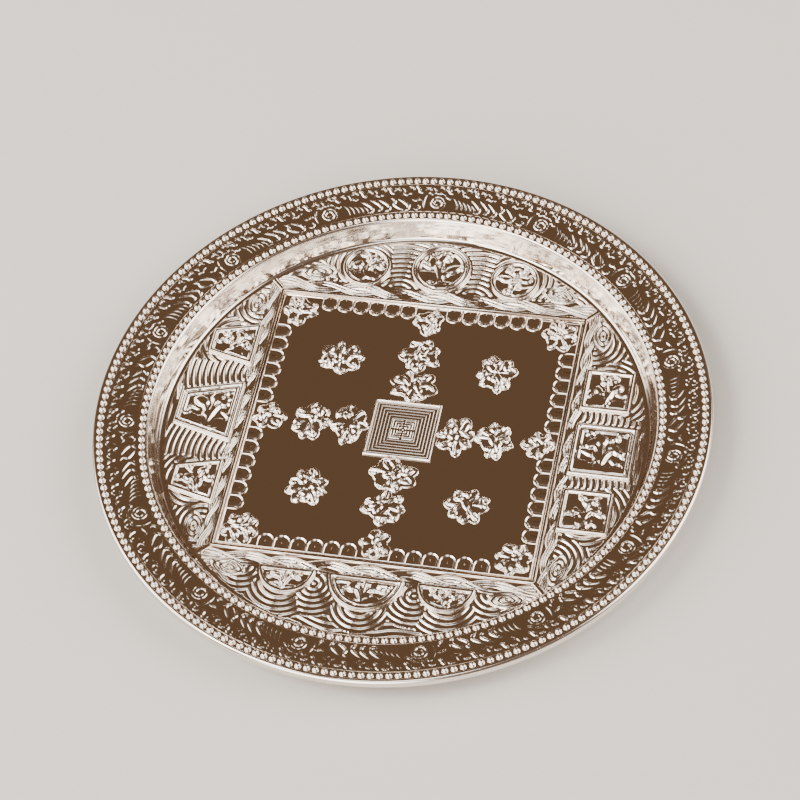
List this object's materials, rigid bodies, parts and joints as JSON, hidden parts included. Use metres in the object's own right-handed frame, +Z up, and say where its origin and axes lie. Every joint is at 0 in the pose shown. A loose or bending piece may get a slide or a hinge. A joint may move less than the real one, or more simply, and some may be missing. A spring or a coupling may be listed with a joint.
{
  "type": "offering plate",
  "caption": "Round shallow metal dish with a broad beaded scroll brim and a floor laid out as a square court with a stepped middle, petals, ornaments and plaques.",
  "frame": {"origin": "centre of the floor's underside, where the plate rests", "axes": "+Z up out of the dish along its axis; +Y towards the three discs, +X towards the three square plaques"},
  "size_m": [0.3, 0.3, 0.0179],
  "materials": {
    "plated_sheet": "bright silver plating on spun and struck sheet, mirror polished",
    "bead_silver": "bright silver plating on struck beads",
    "brim_relief": "bright silver plating on struck scrollwork",
    "border_silver": "bright silver plating on struck borders",
    "sea_relief": "bright silver plating on struck ripples",
    "plaque_silver": "bright silver plating on struck plaques",
    "ornament_silver": "bright silver plating on struck ornaments"
  },
  "bodies": {
    "root": {"dish": "plated_sheet", "outer_beading": "bead_silver", "inner_beading": "bead_silver", "scroll_band": "brim_relief", "floor_frame": "border_silver", "petal_border": "border_silver", "medallion": "border_silver", "sea_top": "sea_relief", "sea_left": "sea_relief", "sea_bottom": "sea_relief", "sea_right": "sea_relief", "disc_middle": "plaque_silver", "disc_left": "plaque_silver", "disc_right": "plaque_silver", "trapezoid_middle": "plaque_silver", "trapezoid_upper": "plaque_silver", "trapezoid_lower": "plaque_silver", "halfmoon_middle": "plaque_silver", "halfmoon_left": "plaque_silver", "halfmoon_right": "plaque_silver", "square_middle": "plaque_silver", "square_upper": "plaque_silver", "square_lower": "plaque_silver", "corner_ornament_1": "ornament_silver", "corner_ornament_2": "ornament_silver", "corner_ornament_3": "ornament_silver", "corner_ornament_4": "ornament_silver", "side_ornament_top": "ornament_silver", "side_ornament_left": "ornament_silver", "side_ornament_bottom": "ornament_silver", "side_ornament_right": "ornament_silver", "arm_top_outer": "ornament_silver", "arm_top_inner": "ornament_silver", "arm_left_outer": "ornament_silver", "arm_left_inner": "ornament_silver", "arm_bottom_outer": "ornament_silver", "arm_bottom_inner": "ornament_silver", "arm_right_outer": "ornament_silver", "arm_right_inner": "ornament_silver", "quarter_ornament_1": "ornament_silver", "quarter_ornament_2": "ornament_silver", "quarter_ornament_3": "ornament_silver", "quarter_ornament_4": "ornament_silver"}
  },
  "joints": []
}
